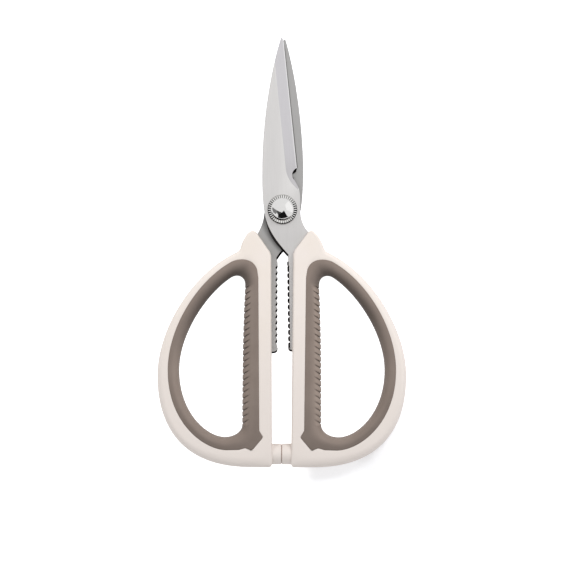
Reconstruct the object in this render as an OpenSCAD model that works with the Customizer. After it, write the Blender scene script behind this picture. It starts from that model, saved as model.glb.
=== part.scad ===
// Poultry shears that lie closed on a table. Two flat steel halves turn on one
// screw, and each ends in a hard frame with a soft grip round its finger loop.
// The back half is the front half turned over about the long axis.
// +Y runs to the tips and +Z is up. The origin is on the table, below the middle
// of the closed shears. Outlines are drawn for the front half, whose handle is on
// the right, in millimetres from the pivot.

/* [Blades] */
// Reach of the tips past the pivot
tip_reach = 80; // [70:1:95]
// Radius of the blunt tips
tip_r = 0.6; // [0.4:0.1:1]
// Thickness of the blades
blade_t = 2.8; // [2.2:0.1:3.4]
// Gap between the blades
blade_gap = 0.3; // [0.2:0.05:0.6]
// Distance from the pivot to the spine
spine_x = 9.3; // [8.8:0.1:11]
// Distance from the pivot to the plain edge below the notch
root_x = 8.25; // [8:0.05:10]
// Distance from the centre line to the heel of the cutting edge
heel_x = 6.65; // [6:0.05:7.4]
// Height of the heel above the pivot
heel_y = 19.3; // [17:0.1:24]
// Radius of the bone notch below the heel
notch_r = 3.4; // [2.6:0.1:3.8]
// Width of the ground bevel along the cutting edge
bevel_w = 5.2; // [4:0.1:6]
// Thickness left at the cutting edge
edge_t = 0.3; // [0.2:0.05:0.6]
// Radius of the wheel that runs the bevel out at the heel
wheel_r = 26; // [20:1:34]

/* [Toothed bars] */
// Distance from the centre line to the points of the teeth
bar_x = 2.5; // [2:0.1:3]
// Distance from the pivot down to the point of the first tooth
teeth_y = 26.2; // [25:0.1:30]
// Number of teeth on each bar
tooth_count = 13; // [8:1:13]
// Pitch of the teeth
tooth_pitch = 2.92; // [2.4:0.02:3]
// Depth of the teeth
tooth_depth = 0.9; // [0.5:0.1:1.2]
// Radius of the corner that ends each toothed bar
bar_end_r = 1.6; // [1:0.1:2]
// Width of each tang behind the points of its teeth
tang_w = 6.8; // [6:0.1:7.2]
// Diameter of the holes that key each tang into its frame
key_hole_d = 2.2; // [1.6:0.1:2.4]

/* [Handles] */
// Thickness of the handles
handle_t = 12; // [11:0.5:15]
// Distance from the centre line to the straight bar of each frame
frame_x = 4.45; // [4.2:0.05:6]
// How much wider the straight bars stand apart at the top
bar_lean = 0.65; // [0:0.05:1]
// Distance from the pivot down to the outer corner of the blade seat
seat_y = 10.9; // [10:0.1:14]
// Distance from the centre line to the outer corner of the blade seat
seat_x = 11.9; // [11.5:0.1:13]
// Height of the crown of the frame, from the seat corner to the soft grip
crown_h = 12.4; // [11.5:0.1:16]
// Width of the straight bar of the frame
frame_bar_w = 6; // [5.8:0.1:8]
// Width of the frame at its far side
frame_side_w = 4.65; // [4:0.05:7]
// Width of the frame along its bottom
frame_bottom_w = 8; // [7.4:0.1:10]
// Rounding of the outer edge of the frame
frame_round = 3.8; // [2:0.1:4.2]

/* [Grips] */
// Width of the finger holes
hole_w = 29.4; // [25:0.1:36]
// Length of the finger holes
hole_l = 75.1; // [70:0.1:90]
// Width of the soft grip on the straight bar
grip_bar_w = 7.95; // [6:0.05:9]
// Width of the soft grip at the far side
grip_side_w = 5.5; // [4.5:0.1:7]
// Width of the soft grip at the top
grip_top_w = 7.6; // [6:0.1:9]
// Width of the soft grip at the bottom
grip_bottom_w = 6; // [5:0.1:8]
// Rounding of the soft grip towards the hole
grip_round = 4; // [2:0.1:4.2]
// Pitch of the ribs along the straight bar
rib_pitch = 2.87; // [2.4:0.01:4]
// Depth of the ribs
rib_depth = 0.6; // [0.3:0.1:1]
// Depth of the tongue that keys the grip onto the frame
tongue_d = 1.2; // [0.6:0.1:1.6]
// Height of that tongue
tongue_h = 3.6; // [2:0.1:5]
// Width of the tab at the lower inner corner of each grip
tab_w = 8; // [6:0.1:9]
// How far the tab stands past the straight side of the grip
tab_out = 1.85; // [1:0.05:2.6]

/* [Stops] */
// Diameter of the pegs that stop the handles
stop_d = 9.4; // [7:0.1:10]
// Distance from the bottom of the handles up to the axis of the pegs
stop_up = 6.3; // [5.8:0.1:8]
// Gap between the pegs when the shears are closed
stop_gap = 0.3; // [0.2:0.05:0.8]
// Chamfer round the face of each peg
stop_chamfer = 0.4; // [0.2:0.1:0.8]

/* [Pivot] */
// Diameter of the shank that the front blade turns on
shank_d = 6; // [5.6:0.1:7]
// Radial clearance of the front blade on the shank
bore_play = 0.05; // [0.02:0.01:0.1]
// Clearance between faces that slide on each other
face_play = 0.05; // [0.03:0.01:0.1]
// Width across the flats of the square neck in the back blade
neck_w = 6; // [5.6:0.1:6.6]
// Clearance on each side of the square neck
neck_play = 0.1; // [0.05:0.05:0.2]
// Diameter of the screw head
head_d = 13; // [11:0.1:15]
// Height of the screw head
head_h = 2; // [1.4:0.1:2.4]
// Width of the slot in the screw head
slot_w = 1.4; // [1:0.1:1.8]
// Depth of the slot in the screw head
slot_d = 0.9; // [0.6:0.1:1.2]
// Diameter of the threaded end
thread_d = 5; // [4:0.1:5.4]
// Clearance round the threaded end
thread_play = 0.05; // [0.02:0.01:0.1]
// Diameter of the thin washer between the blades
thin_washer_d = 13; // [11:0.1:15]
// Diameter of the serrated washer
washer_d = 14.25; // [13:0.05:16]
// Thickness of the serrated washer
washer_t = 1; // [0.8:0.1:1.6]
// Number of serrations on the washer
serration_count = 42; // [24:1:48]
// Depth of the serrations
serration_d = 0.35; // [0.2:0.05:0.5]
// Diameter of the cap nut
nut_d = 10.5; // [9:0.1:11.5]
// Height of the straight skirt of the cap nut
nut_skirt_h = 0.9; // [0.6:0.1:1.6]
// Height of the dome of the cap nut
nut_dome_h = 4.2; // [3:0.1:5]
// Length of thread inside the cap nut
thread_engaged = 3; // [2:0.1:3.6]

/* [Hidden] */
$fn = 64;
blade_color = "#d3d2d0";
back_color = "#aeadab";
frame_color = "#ece2da";
grip_color = "#877a71";
pivot_color = "#c9c9cb";

// Heights of the layers above the table
mid_z = handle_t / 2;
front_z = mid_z + blade_gap / 2;
front_face_z = front_z + blade_t;
back_face_z = mid_z - blade_gap / 2;
head_z = back_face_z - blade_t;
washer_z = front_face_z + face_play;
nut_z = washer_z + washer_t;

// The seam is the line between a frame and its soft grip, and the rim is the outside of the frame.
// x of the straight side, at the bottom: rim, seam, hole
rim_in = frame_x;
seam_in = rim_in + frame_bar_w;
hole_in = seam_in + grip_bar_w;
// x of the far side
hole_far = hole_in + hole_w;
seam_far = hole_far + grip_side_w;
rim_far = seam_far + frame_side_w;
// y of the top and the bottom
seam_top = -seat_y - crown_h;
hole_top = seam_top - grip_top_w;
hole_bottom = hole_top - hole_l;
seam_bottom = hole_bottom - grip_bottom_w;
rim_bottom = seam_bottom - frame_bottom_w;
// y where the far side is widest
wide_y = hole_bottom + 0.415 * hole_l;
// Pivot's place along the part
handle_reach = -rim_bottom;
pivot_y = (handle_reach - tip_reach) / 2;

// Blade seat: the sloping side of the frame that the blade comes out of
seat_corner = [seat_x, -seat_y];
seat_end = [rim_in + bar_lean + 0.5, -seat_y - 8];
// Ends of the tang inside the frame
bar_end_y = -teeth_y - tooth_count * tooth_pitch - 2.6;
tang_x = bar_x + tang_w;
tang_inner_x = rim_in + bar_lean + 0.65;
tang_end_y = seam_bottom + grip_bottom_w + 6;
stop_y = rim_bottom + stop_up;
stop_sink = 1.5;

// Number of stations along each stretch of a ring, and steps round a rounded edge
corner_steps = 8;
side_steps = 14;
crown_steps = 14;
round_steps = 3;

// ---- Points and curves ----

function unit(v) = v / norm(v);
function left_of(v) = [-v[1], v[0]];
function mix(a, b, t) = a * (1 - t) + b * t;
function bezier(p, t) =
    pow(1 - t, 3) * p[0] + 3 * pow(1 - t, 2) * t * p[1] + 3 * (1 - t) * t * t * p[2] + pow(t, 3) * p[3];
// A curve as n points, without its last one
function run(p, n) = [for (i = [0:n - 1]) bezier(p, i / n)];
// A straight line as n points, without its last one
function line(a, b, n) = [for (i = [0:n - 1]) mix(a, b, i / n)];
// An arc from angle a to angle b, as n + 1 points
function arc(c, r, a, b, n) = [for (i = [0:n]) c + r * [cos(mix(a, b, i / n)), sin(mix(a, b, i / n))]];
// Distance from a point to a stretch of line, and to a closed outline
function stretch_gap(v, a, b) =
    let (t = max(0, min(1, (v - a) * (b - a) / ((b - a) * (b - a)))))
    norm(v - mix(a, b, t));
function outline_gap(v, p) = min([for (i = [0:len(p) - 1]) stretch_gap(v, p[i], p[(i + 1) % len(p)])]);
// The direction into the ring at each point of a closed outline that runs anticlockwise
function inward(p) =
    let (n = len(p))
    [for (i = [0:n - 1]) unit(left_of(unit(p[(i + 1) % n] - p[i]) + unit(p[i] - p[(i + n - 1) % n])))];

// ---- Outlines of the loops, anticlockwise from the top of the straight side ----

// The far side of a loop: up from the bottom to the widest point, then over to the crown.
// low and high hold the lengths of the handles of the curves, as shares of their spans.
function far_side(bottom, wide, crown, low, high) =
    concat(
        run([bottom, bottom + [low[0] * (wide[0] - bottom[0]), 0],
             wide - [0, low[1] * (wide[1] - bottom[1])], wide], side_steps),
        run([wide, wide + [0, high[0] * (crown[1] - wide[1])],
             crown + [high[1] * (wide[0] - crown[0]), -high[2] * (crown[1] - wide[1])], crown], side_steps));

// Straight side of the soft grip. Towards its top it swings out by hole_lean.
hole_lean = 1.2;
hole_side_top = [hole_in - hole_lean, hole_top - 4.3];
hole_side_end = [hole_in, hole_bottom + 5.8];
rib_count = floor((hole_side_top[1] - hole_side_end[1]) / rib_pitch);
function hole_side(t) =
    [hole_in - hole_lean * pow(1 - t, 3), mix(hole_side_top[1], hole_side_end[1], t)];
// Two stations a rib, as shares of the side: the bottom of a notch, then the top of the rib below it
rib_stations = [for (i = [0:rib_count - 1], k = [0, 1]) (i + 0.35 * k) / rib_count];
function ribbed_side() =
    [for (i = [0:2 * rib_count - 1]) hole_side(rib_stations[i]) - [i % 2 == 0 ? rib_depth : 0, 0]];
// The frame has only the first two of these stations and the last
plain_stations = [rib_stations[0], rib_stations[1], rib_stations[2 * rib_count - 1]];

hole_crown = [hole_side_top[0] + 6.9, hole_top - 1.1];
function hole_corner() =
    run([hole_side_end, hole_side_end - [0, 3.4], [hole_in + 3.8, hole_bottom],
         [hole_in + 8, hole_bottom]], corner_steps);
function hole_ring() =
    concat(
        ribbed_side(),
        hole_corner(),
        far_side([hole_in + 8, hole_bottom], [hole_far, wide_y], hole_crown,
                 [0.4, 0.64], [0.375, 0.5, 0.19]),
        run([hole_crown, hole_crown + [-3.2, 2.25], hole_side_top + [0, 4], hole_side_top], crown_steps));

seam_side_top = [seam_in + bar_lean, seam_top - 8.7];
seam_side_end = [seam_in, seam_bottom + 9.1];
seam_crown = [seam_side_top[0] + 12.7, seam_top - 1.3];
// The tab: a square-ended tongue of the soft grip that points at the corner of the frame
tab_top = [seam_in - tab_out, seam_bottom + 0.75 * tab_w];
tab_low = tab_top + tab_w * [cos(-50), sin(-50)];
tab_root = tab_low + [3.4, 1];
seam_floor = [seam_in + 15, seam_bottom];
function seam_corner() =
    concat(
        line(seam_side_end, tab_top, 2),
        line(tab_top, tab_low, 2),
        line(tab_low, tab_root, 2),
        line(tab_root, seam_floor, 2));
function seam_rest() =
    concat(
        seam_corner(),
        far_side(seam_floor, [seam_far, wide_y], seam_crown, [0.38, 0.67], [0.38, 0.56, 0.187]),
        run([seam_crown, seam_crown + [-2.75, 1.6], seam_side_top + [0, 10.9], seam_side_top],
            crown_steps));
function seam_ring(stations) =
    concat([for (t = stations) mix(seam_side_top, seam_side_end, t)], seam_rest());

rim_side_top = [rim_in + bar_lean, seat_end[1] - 1.8];
rim_side_end = [rim_in, rim_bottom + 2];
crown_out = 15.9;
crown_up = 3.5;
rim_crown = [rim_side_top[0] + crown_out, seam_top + crown_up];
rim_floor = [rim_in + 10.4, rim_bottom];
// The bump of the crown, from the foot of its outer side to the seat corner
bump_foot = rim_crown + [-1.5, 1.8];
function rim_top() =
    concat(
        run([rim_crown, rim_crown + [-0.8, 0.4], bump_foot + [0.2, -0.6], bump_foot], 3),
        run([bump_foot, bump_foot + [-1.2, 3.5], seat_corner + [2.6, 2.7], seat_corner], 7),
        line(seat_corner, seat_end, 2),
        line(seat_end, rim_side_top, 2));
function rim_ring() =
    concat(
        [for (t = plain_stations) mix(rim_side_top, rim_side_end, t)],
        run([rim_side_end, rim_side_end - [0, 1.7], rim_side_end + [0.6, -2], rim_side_end + [2.4, -2]], 5),
        line(rim_side_end + [2.4, -2], rim_floor, corner_steps - 5),
        far_side(rim_floor, [rim_far, wide_y - 2.5], rim_crown, [0.73, 0.526], [0.356, 0.595, 0.18]),
        rim_top());

// ---- Rings ----

// How far the edge of a frame is rounded, across and down, at each of its stations
least_flat = 0.5;
bar_round = [1.8, 2.5];
seat_round = [0.7, 1];
bottom_round = [frame_round + 0.6, 5];
side_round = [frame_round, 5];
function frame_rounds() =
    concat(
        [for (t = plain_stations) bar_round],
        [for (i = [0:corner_steps - 1]) mix(bar_round, bottom_round, i / corner_steps)],
        [for (i = [0:side_steps - 1]) mix(bottom_round, side_round, i / side_steps)],
        [for (i = [0:side_steps - 1]) mix(side_round, [1.8, 3], pow(i / side_steps, 3))],
        [for (i = [0:crown_steps - 1]) i < 10 ? mix([1.8, 3], seat_round, i / 10)
                                              : mix(seat_round, bar_round, (i - 10) / 4)]);

// One section of a ring: from the seam along the underside, round the edge and back over the top,
// then down the seam and round its tongue
function section(s, e, dir, r, tongue) =
    let (a = 90 / round_steps, n = round_steps, in = mid_z - tongue_h / 2, out = mid_z + tongue_h / 2)
    concat(
        [[s[0], s[1], 0]],
        [for (i = [0:n]) let (p = e + dir * r[0] * (1 - sin(a * i))) [p[0], p[1], r[1] * (1 - cos(a * i))]],
        [for (i = [n:-1:0]) let (p = e + dir * r[0] * (1 - sin(a * i)))
            [p[0], p[1], handle_t - r[1] * (1 - cos(a * i))]],
        [[s[0], s[1], handle_t], [s[0], s[1], out]],
        [[tongue[0], tongue[1], out], [tongue[0], tongue[1], in]],
        [[s[0], s[1], in]]);

// A closed ring through its sections. turn is true where the edge lies inside the seam.
module ring(sections, turn) {
    n = len(sections);
    m = len(sections[0]);
    faces = [for (i = [0:n - 1], j = [0:m - 1])
        let (a = i * m + j, b = ((i + 1) % n) * m + j, c = ((i + 1) % n) * m + (j + 1) % m,
             d = i * m + (j + 1) % m)
        each turn ? [[a, b, c], [a, c, d]] : [[a, c, b], [a, d, c]]];
    polyhedron([for (s = sections, p = s) p], faces);
}

// The hard frame, solid: the tang is cut out of it later
module frame_body() {
    seam = seam_ring(plain_stations);
    rim = rim_ring();
    rim_dir = inward(rim);
    key = seam + tongue_d * inward(seam);
    rounds = frame_rounds();
    ring([for (i = [0:len(seam) - 1])
        let (across = min(rounds[i][0], outline_gap(rim[i], seam) - least_flat))
        section(seam[i], rim[i], rim_dir[i], [across, rounds[i][1]], key[i])], false);
}

// The peg that meets its twin when the shears close
module stop_peg() {
    face_x = stop_gap / 2;
    translate([face_x, stop_y, mid_z])
        rotate([0, 90, 0]) {
            cylinder(h = stop_chamfer, d1 = stop_d - 2 * stop_chamfer, d2 = stop_d);
            translate([0, 0, stop_chamfer])
                cylinder(h = rim_in + stop_sink - face_x - stop_chamfer, d = stop_d);
        }
}

module handle_frame() {
    difference() {
        union() {
            frame_body();
            stop_peg();
        }
        tang();
    }
}

module grip() {
    hole = hole_ring();
    seam = seam_ring(rib_stations);
    key = seam + tongue_d * inward(seam);
    ring([for (i = [0:len(seam) - 1])
        let (across = min(grip_round, outline_gap(hole[i], seam) - tongue_d - least_flat))
        section(seam[i], hole[i], unit(seam[i] - hole[i]), [across, mid_z - 1], key[i])], true);
}

// ---- Blades ----

// Spine, from the tip down to the plain top of the toothed bar. The belly is where the blade is widest.
tip_c = [-0.4, tip_reach - tip_r];
fork_end = [bar_x + 0.1, -teeth_y + 4];
belly = [-spine_x, 17];
belly_pull = 33.2;
fork_pull = [-0.2 * spine_x - fork_end[0], 8.7];
function spine() =
    concat(
        run([tip_c - [tip_r, 0], [-0.73 * spine_x, 0.75 * tip_reach],
             [-spine_x, 0.48 * tip_reach], belly], 16),
        run([belly, belly - [0, belly_pull], fork_end + fork_pull, fork_end], 18),
        [fork_end]);

// Toothed edge, from the top down, then the round corner where it enters the frame
function teeth() =
    concat(
        [for (i = [0:tooth_count - 1])
            let (y = -teeth_y - i * tooth_pitch)
            each [[bar_x, y], [bar_x + tooth_depth, y - 0.38 * tooth_pitch],
                  [bar_x + 0.25 * tooth_depth, y - 0.72 * tooth_pitch]]],
        [[bar_x + 0.2, -teeth_y - tooth_count * tooth_pitch]],
        arc([bar_x + 0.2 + bar_end_r, bar_end_y + bar_end_r], bar_end_r, 180, 270, 6),
        [[tang_inner_x, bar_end_y]]);

// The tang inside the frame, from the toothed bar down and back up to the seat
function tang_edge() = [
    [tang_inner_x, tang_end_y],
    [tang_x - 0.8, tang_end_y],
    [tang_x, tang_end_y + 1.5],
    [tang_x, -seat_y - 15],
    [seat_x - 0.4, -seat_y - 10],
    [seat_x + 1.1, -seat_y - 5],
    [seat_x + 0.9, -seat_y - 2.2]
];

// Right-hand edge, from the seat up past the notch to the tip. The notch runs from its foot to the heel.
notch_c = [heel_x + 0.365 * notch_r, heel_y - 0.93 * notch_r];
notch_foot_a = 192;
notch_heel_a = 111.4;
notch_foot = notch_c + notch_r * [cos(notch_foot_a), sin(notch_foot_a)];
// How far the edge runs round the tip
tip_arc = 150;
function cutting_side() =
    concat(
        run([seat_corner, [root_x + 0.73, -seat_y + 4.1], [root_x, -3.5], [root_x, 3]], 8),
        run([[root_x, 3], [root_x, 9.3], [root_x - 0.4, 9.6], notch_foot], 8),
        arc(notch_c, notch_r, notch_foot_a, notch_heel_a, 8),
        arc(tip_c, tip_r, 0, tip_arc, 5));

module outline() polygon(concat(spine(), teeth(), tang_edge(), cutting_side()));

// Holes through the tang that fill with the plastic of the frame. Two lie behind the teeth, at these
// shares of their length.
key_shares = [0.165, 0.658];
module key_holes() {
    bar_mid = (tang_inner_x + tang_x) / 2;
    for (share = key_shares)
        translate([bar_mid + 0.1, mix(-teeth_y, bar_end_y, share)])
            circle(d = key_hole_d);
    for (y = [bar_end_y - 10, tang_end_y + 7])
        translate([bar_mid, y])
            circle(d = key_hole_d);
    translate([seat_x - 1.8, -seat_y - 6])
        circle(d = 1.4 * key_hole_d);
}

module tang()
    translate([0, 0, front_z])
        linear_extrude(blade_t)
            difference() {
                outline();
                key_holes();
            }

// What the grinding wheel takes off the outer face: a slope along the cutting edge, run out at the heel
module bevel_cut() {
    tip = tip_c + [tip_r, 0];
    heel = [heel_x, heel_y];
    cut_l = 2 * tip_reach;
    rise = blade_t - edge_t;
    translate([heel[0], heel[1], front_z + edge_t])
        rotate(atan2(tip[1] - heel[1], tip[0] - heel[0]))
            rotate([atan2(rise, bevel_w), 0, 0]) {
                translate([0, -bevel_w, 0])
                    cube([cut_l, 3 * bevel_w, 2 * blade_t]);
                translate([0, -bevel_w, wheel_r])
                    rotate([-90, 0, 0])
                        cylinder(h = 3 * bevel_w, r = wheel_r, $fn = 128);
            }
}

module blade() {
    difference() {
        tang();
        bevel_cut();
        children();
    }
}

// Turns the front half over into the back half
module turn_over()
    translate([0, 0, handle_t])
        rotate([0, 180, 0])
            children();

module at_pivot()
    translate([0, pivot_y, 0])
        children();

module front_blade()
    color(blade_color)
        at_pivot()
            blade()
                cylinder(h = 2 * handle_t, r = shank_d / 2 + bore_play);

module back_blade()
    color(back_color)
        at_pivot()
            turn_over()
                blade()
                    translate([-neck_w / 2 - neck_play, -neck_w / 2 - neck_play, 0])
                        cube([neck_w + 2 * neck_play, neck_w + 2 * neck_play, handle_t]);

module right_handle_frame()
    color(frame_color)
        at_pivot()
            handle_frame();

module left_handle_frame()
    color(frame_color)
        at_pivot()
            turn_over()
                handle_frame();

module right_grip()
    color(grip_color)
        at_pivot()
            grip();

module left_grip()
    color(grip_color)
        at_pivot()
            turn_over()
                grip();

// ---- Pivot ----

// A low dome of diameter d and height h that stands on z = 0
module dome(d, h) {
    r = (d * d / 4 + h * h) / (2 * h);
    intersection() {
        translate([0, 0, h - r])
            sphere(r = r, $fn = 128);
        cylinder(h = h + 1, d = d);
    }
}

module pivot_screw() {
    neck_top = back_face_z - face_play;
    color(pivot_color)
        at_pivot() {
            translate([0, 0, head_z])
                rotate([180, 0, 0])
                    difference() {
                        dome(head_d, head_h);
                        translate([-head_d, -slot_w / 2, head_h - slot_d])
                            cube([2 * head_d, slot_w, head_h]);
                    }
            translate([-neck_w / 2, -neck_w / 2, head_z])
                cube([neck_w, neck_w, neck_top - head_z]);
            translate([0, 0, neck_top])
                cylinder(h = washer_z - neck_top, d = shank_d);
            translate([0, 0, washer_z])
                cylinder(h = washer_t + thread_engaged, d = thread_d);
        }
}

module thin_washer()
    color(back_color)
        at_pivot()
            translate([0, 0, back_face_z])
                difference() {
                    cylinder(h = blade_gap - face_play, d = thin_washer_d);
                    translate([0, 0, -1])
                        cylinder(h = blade_gap + 2, d = shank_d + 2 * neck_play);
                }

module serrated_washer()
    color(pivot_color)
        at_pivot()
            translate([0, 0, washer_z])
                difference() {
                    cylinder(h = washer_t, d = washer_d);
                    translate([0, 0, -1])
                        cylinder(h = washer_t + 2, d = thread_d + 2 * thread_play);
                    for (i = [0:serration_count - 1])
                        rotate(i * 360 / serration_count)
                            translate([nut_d / 2 + 0.1, 0, washer_t])
                                rotate([45, 0, 0])
                                    translate([0, -serration_d / sqrt(2), -serration_d / sqrt(2)])
                                        cube([washer_d, sqrt(2) * serration_d, sqrt(2) * serration_d]);
                }

module cap_nut()
    color(pivot_color)
        at_pivot()
            translate([0, 0, nut_z])
                difference() {
                    union() {
                        cylinder(h = nut_skirt_h, d = nut_d);
                        translate([0, 0, nut_skirt_h])
                            dome(nut_d, nut_dome_h);
                    }
                    translate([0, 0, -1])
                        cylinder(h = 1 + thread_engaged + 0.3, d = thread_d + 2 * thread_play);
                }

front_blade();
back_blade();
right_handle_frame();
left_handle_frame();
right_grip();
left_grip();
pivot_screw();
thin_washer();
serrated_washer();
cap_nut();
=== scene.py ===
"""The looks of a pair of poultry shears that lie closed on a white table.

Outlines are drawn for the front half, whose handle is on the right, in millimetres from the pivot.
The back half is the front half turned over about the long axis.
"""

import math

import bmesh
import bpy
import numpy as np
from mathutils import Matrix, Vector


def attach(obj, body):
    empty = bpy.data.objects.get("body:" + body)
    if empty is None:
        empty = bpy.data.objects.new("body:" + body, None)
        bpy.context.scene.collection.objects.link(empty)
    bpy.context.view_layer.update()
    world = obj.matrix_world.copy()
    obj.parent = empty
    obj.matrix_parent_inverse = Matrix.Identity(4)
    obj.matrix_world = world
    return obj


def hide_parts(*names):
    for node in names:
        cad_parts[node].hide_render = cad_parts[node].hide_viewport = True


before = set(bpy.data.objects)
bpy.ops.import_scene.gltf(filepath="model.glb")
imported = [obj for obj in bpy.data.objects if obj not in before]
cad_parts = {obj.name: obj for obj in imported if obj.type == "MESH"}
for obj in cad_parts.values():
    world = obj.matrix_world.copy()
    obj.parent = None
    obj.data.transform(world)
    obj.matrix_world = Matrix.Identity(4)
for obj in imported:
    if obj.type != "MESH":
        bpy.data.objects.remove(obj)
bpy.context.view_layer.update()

MM = 0.001
PIVOT_Y = 20.0
THICK = 12.0
MID_Z = THICK / 2

# Blades
TIP_REACH = 80.0
TIP_R = 0.6
BLADE_T = 2.8
BLADE_GAP = 0.3
SPINE_X = 9.3
ROOT_X = 8.25
HEEL = np.array([6.65, 19.3])
NOTCH_R = 3.4
NOTCH_SLOPE = 1.25
BEVEL_W = 5.2
EDGE_T = 0.3
HONE_W = 0.4
HEEL_GAP = 0.4
WHEEL_R = 26.0
WHEEL_N = 720
BORE_R = 3.05
SQUARE_HALF = 3.1
FRONT_Z = MID_Z + BLADE_GAP / 2
FACE_Z = FRONT_Z + BLADE_T

# Chamfers of a plate's lower and upper face, and the height of the upright band under the upper one
LOW_CHAMFER = 0.08
HIGH_CHAMFER = 0.1
BAND_H = 0.14

# Bars and tangs
BAR_X = 2.5
TANG_W = 6.8

# Frames
RIM_IN = 4.45
BAR_LEAN = 0.65
SEAT = np.array([11.9, -10.9])
CROWN_DROP = 12.4
FRAME_BAR_W = 6.0
FRAME_SIDE_W = 4.95
FRAME_BOTTOM_W = 8.0
FRAME_ROUND = 3.8

# Soft grips
HOLE_W = 29.4
HOLE_L = 75.1
HOLE_LEAN = 1.2
WIDE_SHARE = 0.415
GRIP_BAR_W = 7.95
GRIP_SIDE_W = 5.2
GRIP_TOP_W = 7.6
GRIP_BOTTOM_W = 6.0
GRIP_ROUND = 4.0
CROWN_ROUND = 4.0
TONGUE_D = 1.2
TONGUE_H = 3.6
TAB_W = 8.0
TAB_OUT = 1.85
TAB_TURN = -50
SEAM_FILLET = 0.22

# Ribs of the grips. Groove and lip are the shares of a pitch below and above a groove's floor
RIB_TOP = -36.73
RIB_COUNT = 23
RIB_PITCH = 2.847
RIB_DEPTH = 0.52
RIB_SLANT = 0.6
RIB_REACH = 3.6
RIB_FADE = 1.6
RIB_GROOVE = 0.28
RIB_LIP = 0.08

# How much painted shade darkens and painted light lightens parts of the grips, as shares
GROOVE_DARK = 0.95
RIBBED_LIGHT = 0.24
CROWN_DARK = 0.56
SEAM_DARK = 0.1
LOW_SEAM_DARK = 0.12
SIDE_LIGHT = 0.11
UP_LIGHT = 0.24

# The narrowest flat left beside a rounded edge, on a frame and on a grip
FRAME_FLAT = 0.5
GRIP_FLAT = 0.6

# Stops and pivot
STOP_D = 9.8
STOP_UP = 6.1
NUT_R = 5.25
WASHER_R = 7.0
SERRATIONS = 38

# Places of the loops' lines, from the parts between them
SEAM_IN = RIM_IN + FRAME_BAR_W
HOLE_IN = SEAM_IN + GRIP_BAR_W
HOLE_FAR = HOLE_IN + HOLE_W
SEAM_FAR = HOLE_FAR + GRIP_SIDE_W
RIM_FAR = SEAM_FAR + FRAME_SIDE_W
SEAM_TOP = SEAT[1] - CROWN_DROP
HOLE_TOP = SEAM_TOP - GRIP_TOP_W
HOLE_BOTTOM = HOLE_TOP - HOLE_L
SEAM_BOTTOM = HOLE_BOTTOM - GRIP_BOTTOM_W
RIM_BOTTOM = SEAM_BOTTOM - FRAME_BOTTOM_W
WIDE_Y = HOLE_BOTTOM + WIDE_SHARE * HOLE_L
TANG_INNER_X = RIM_IN + BAR_LEAN + 0.65
TANG_END_Y = SEAM_BOTTOM + GRIP_BOTTOM_W + 6

# The upper and lower end of each seat's line, and how much the curve from the crown up to it is
# raised. The two halves differ a little
FRONT_SEAT = SEAT + [[0.2, 0.4], [-6.15, -8.1]]
BACK_SEAT = SEAT + [[-0.3, -0.5], [-6.15, -8.9]]
FRONT_LIFT = 0.0
BACK_LIFT = 1.6

# Stations along each stretch of a ring
SIDE_N = 506
PLAIN_N = 24
CORNER_N = 32
FAR_N = 44
CROWN_N = 44

# Steps round the section of a ring
ROUND_N = 12
FLAT_N = 4
WALL_N = 4

# ---- Points and curves ----


def at(x, y):
    return np.array([x, y], float)


def ray(degrees):
    """The unit vector at an angle from +X."""
    return at(math.cos(math.radians(degrees)), math.sin(math.radians(degrees)))


def smooth(x):
    """0 below 0, 1 above 1, and the cubic 3x^2 - 2x^3 between."""
    x = np.clip(x, 0, 1)
    return x * x * (3 - 2 * x)


def shares(n):
    """n even steps from 0 up to, but without, 1."""
    return np.arange(n) / n


def bezier(p, n):
    """n points of the cubic curve from p[0] to p[3], pulled towards p[1] and p[2]: the sum of the
    four with weights (1-t)^3, 3(1-t)^2 t, 3(1-t) t^2 and t^3. The last point is left out."""
    p = np.array(p, float)
    t = shares(n)[:, None]
    s = 1 - t
    return s**3 * p[0] + 3 * s**2 * t * p[1] + 3 * s * t * t * p[2] + t**3 * p[3]


def line(a, b, n):
    """n points of a straight line, without its last one."""
    return a + (b - a) * shares(n)[:, None]


def arc(c, r, a, b, n):
    """n + 1 points on a circle from angle a to angle b, in degrees."""
    t = np.radians(np.linspace(a, b, n + 1))
    return c + r * np.column_stack([np.cos(t), np.sin(t)])


def unit(v):
    return v / np.linalg.norm(v, axis=-1, keepdims=True)


def inward(p):
    """The unit vector to the left of a closed outline at each of its points, halfway between its
    two sides there."""
    ahead = unit(np.roll(p, -1, 0) - p)
    d = unit(ahead + np.roll(ahead, 1, 0))
    return np.column_stack([-d[:, 1], d[:, 0]])


def outline_gap(p, q):
    """Distance from each point of p to the closed outline q: the least over its straight sides."""
    a = q[None]
    ab = np.roll(q, -1, 0)[None] - a
    ap = p[:, None] - a
    t = np.clip((ap * ab).sum(-1) / (ab * ab).sum(-1), 0, 1)
    return np.linalg.norm(ap - ab * t[..., None], axis=-1).min(1)


def between(points, places):
    """Points at fractional places along a chain of points, by straight sides."""
    index = np.arange(len(points))
    return np.column_stack([np.interp(places, index, points[:, k]) for k in range(2)])


def softened(points, n, width):
    """n points along a chain of straight sides, each side in equal shares. Each point is the mean
    of three that lie width apart, so the corners are rounded."""
    points = np.array(points, float)
    knots = np.arange(len(points)) / (len(points) - 1)
    t = shares(n)
    w = np.minimum(width, np.minimum(t, 1 - t))

    def place(s):
        return np.column_stack([np.interp(s, knots, points[:, k]) for k in range(2)])

    return (place(t - w) + place(t) + place(t + w)) / 3


def turned(points):
    """The same points, turned over: x changes sign and heights count from the other side."""
    return points * [-1, 1, -1] + [0, 0, THICK]


# ---- Outlines of the loops, anticlockwise from the top of the straight side ----

# Plain numbers in the outlines place the ends and the handles of their curves, in millimetres


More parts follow.
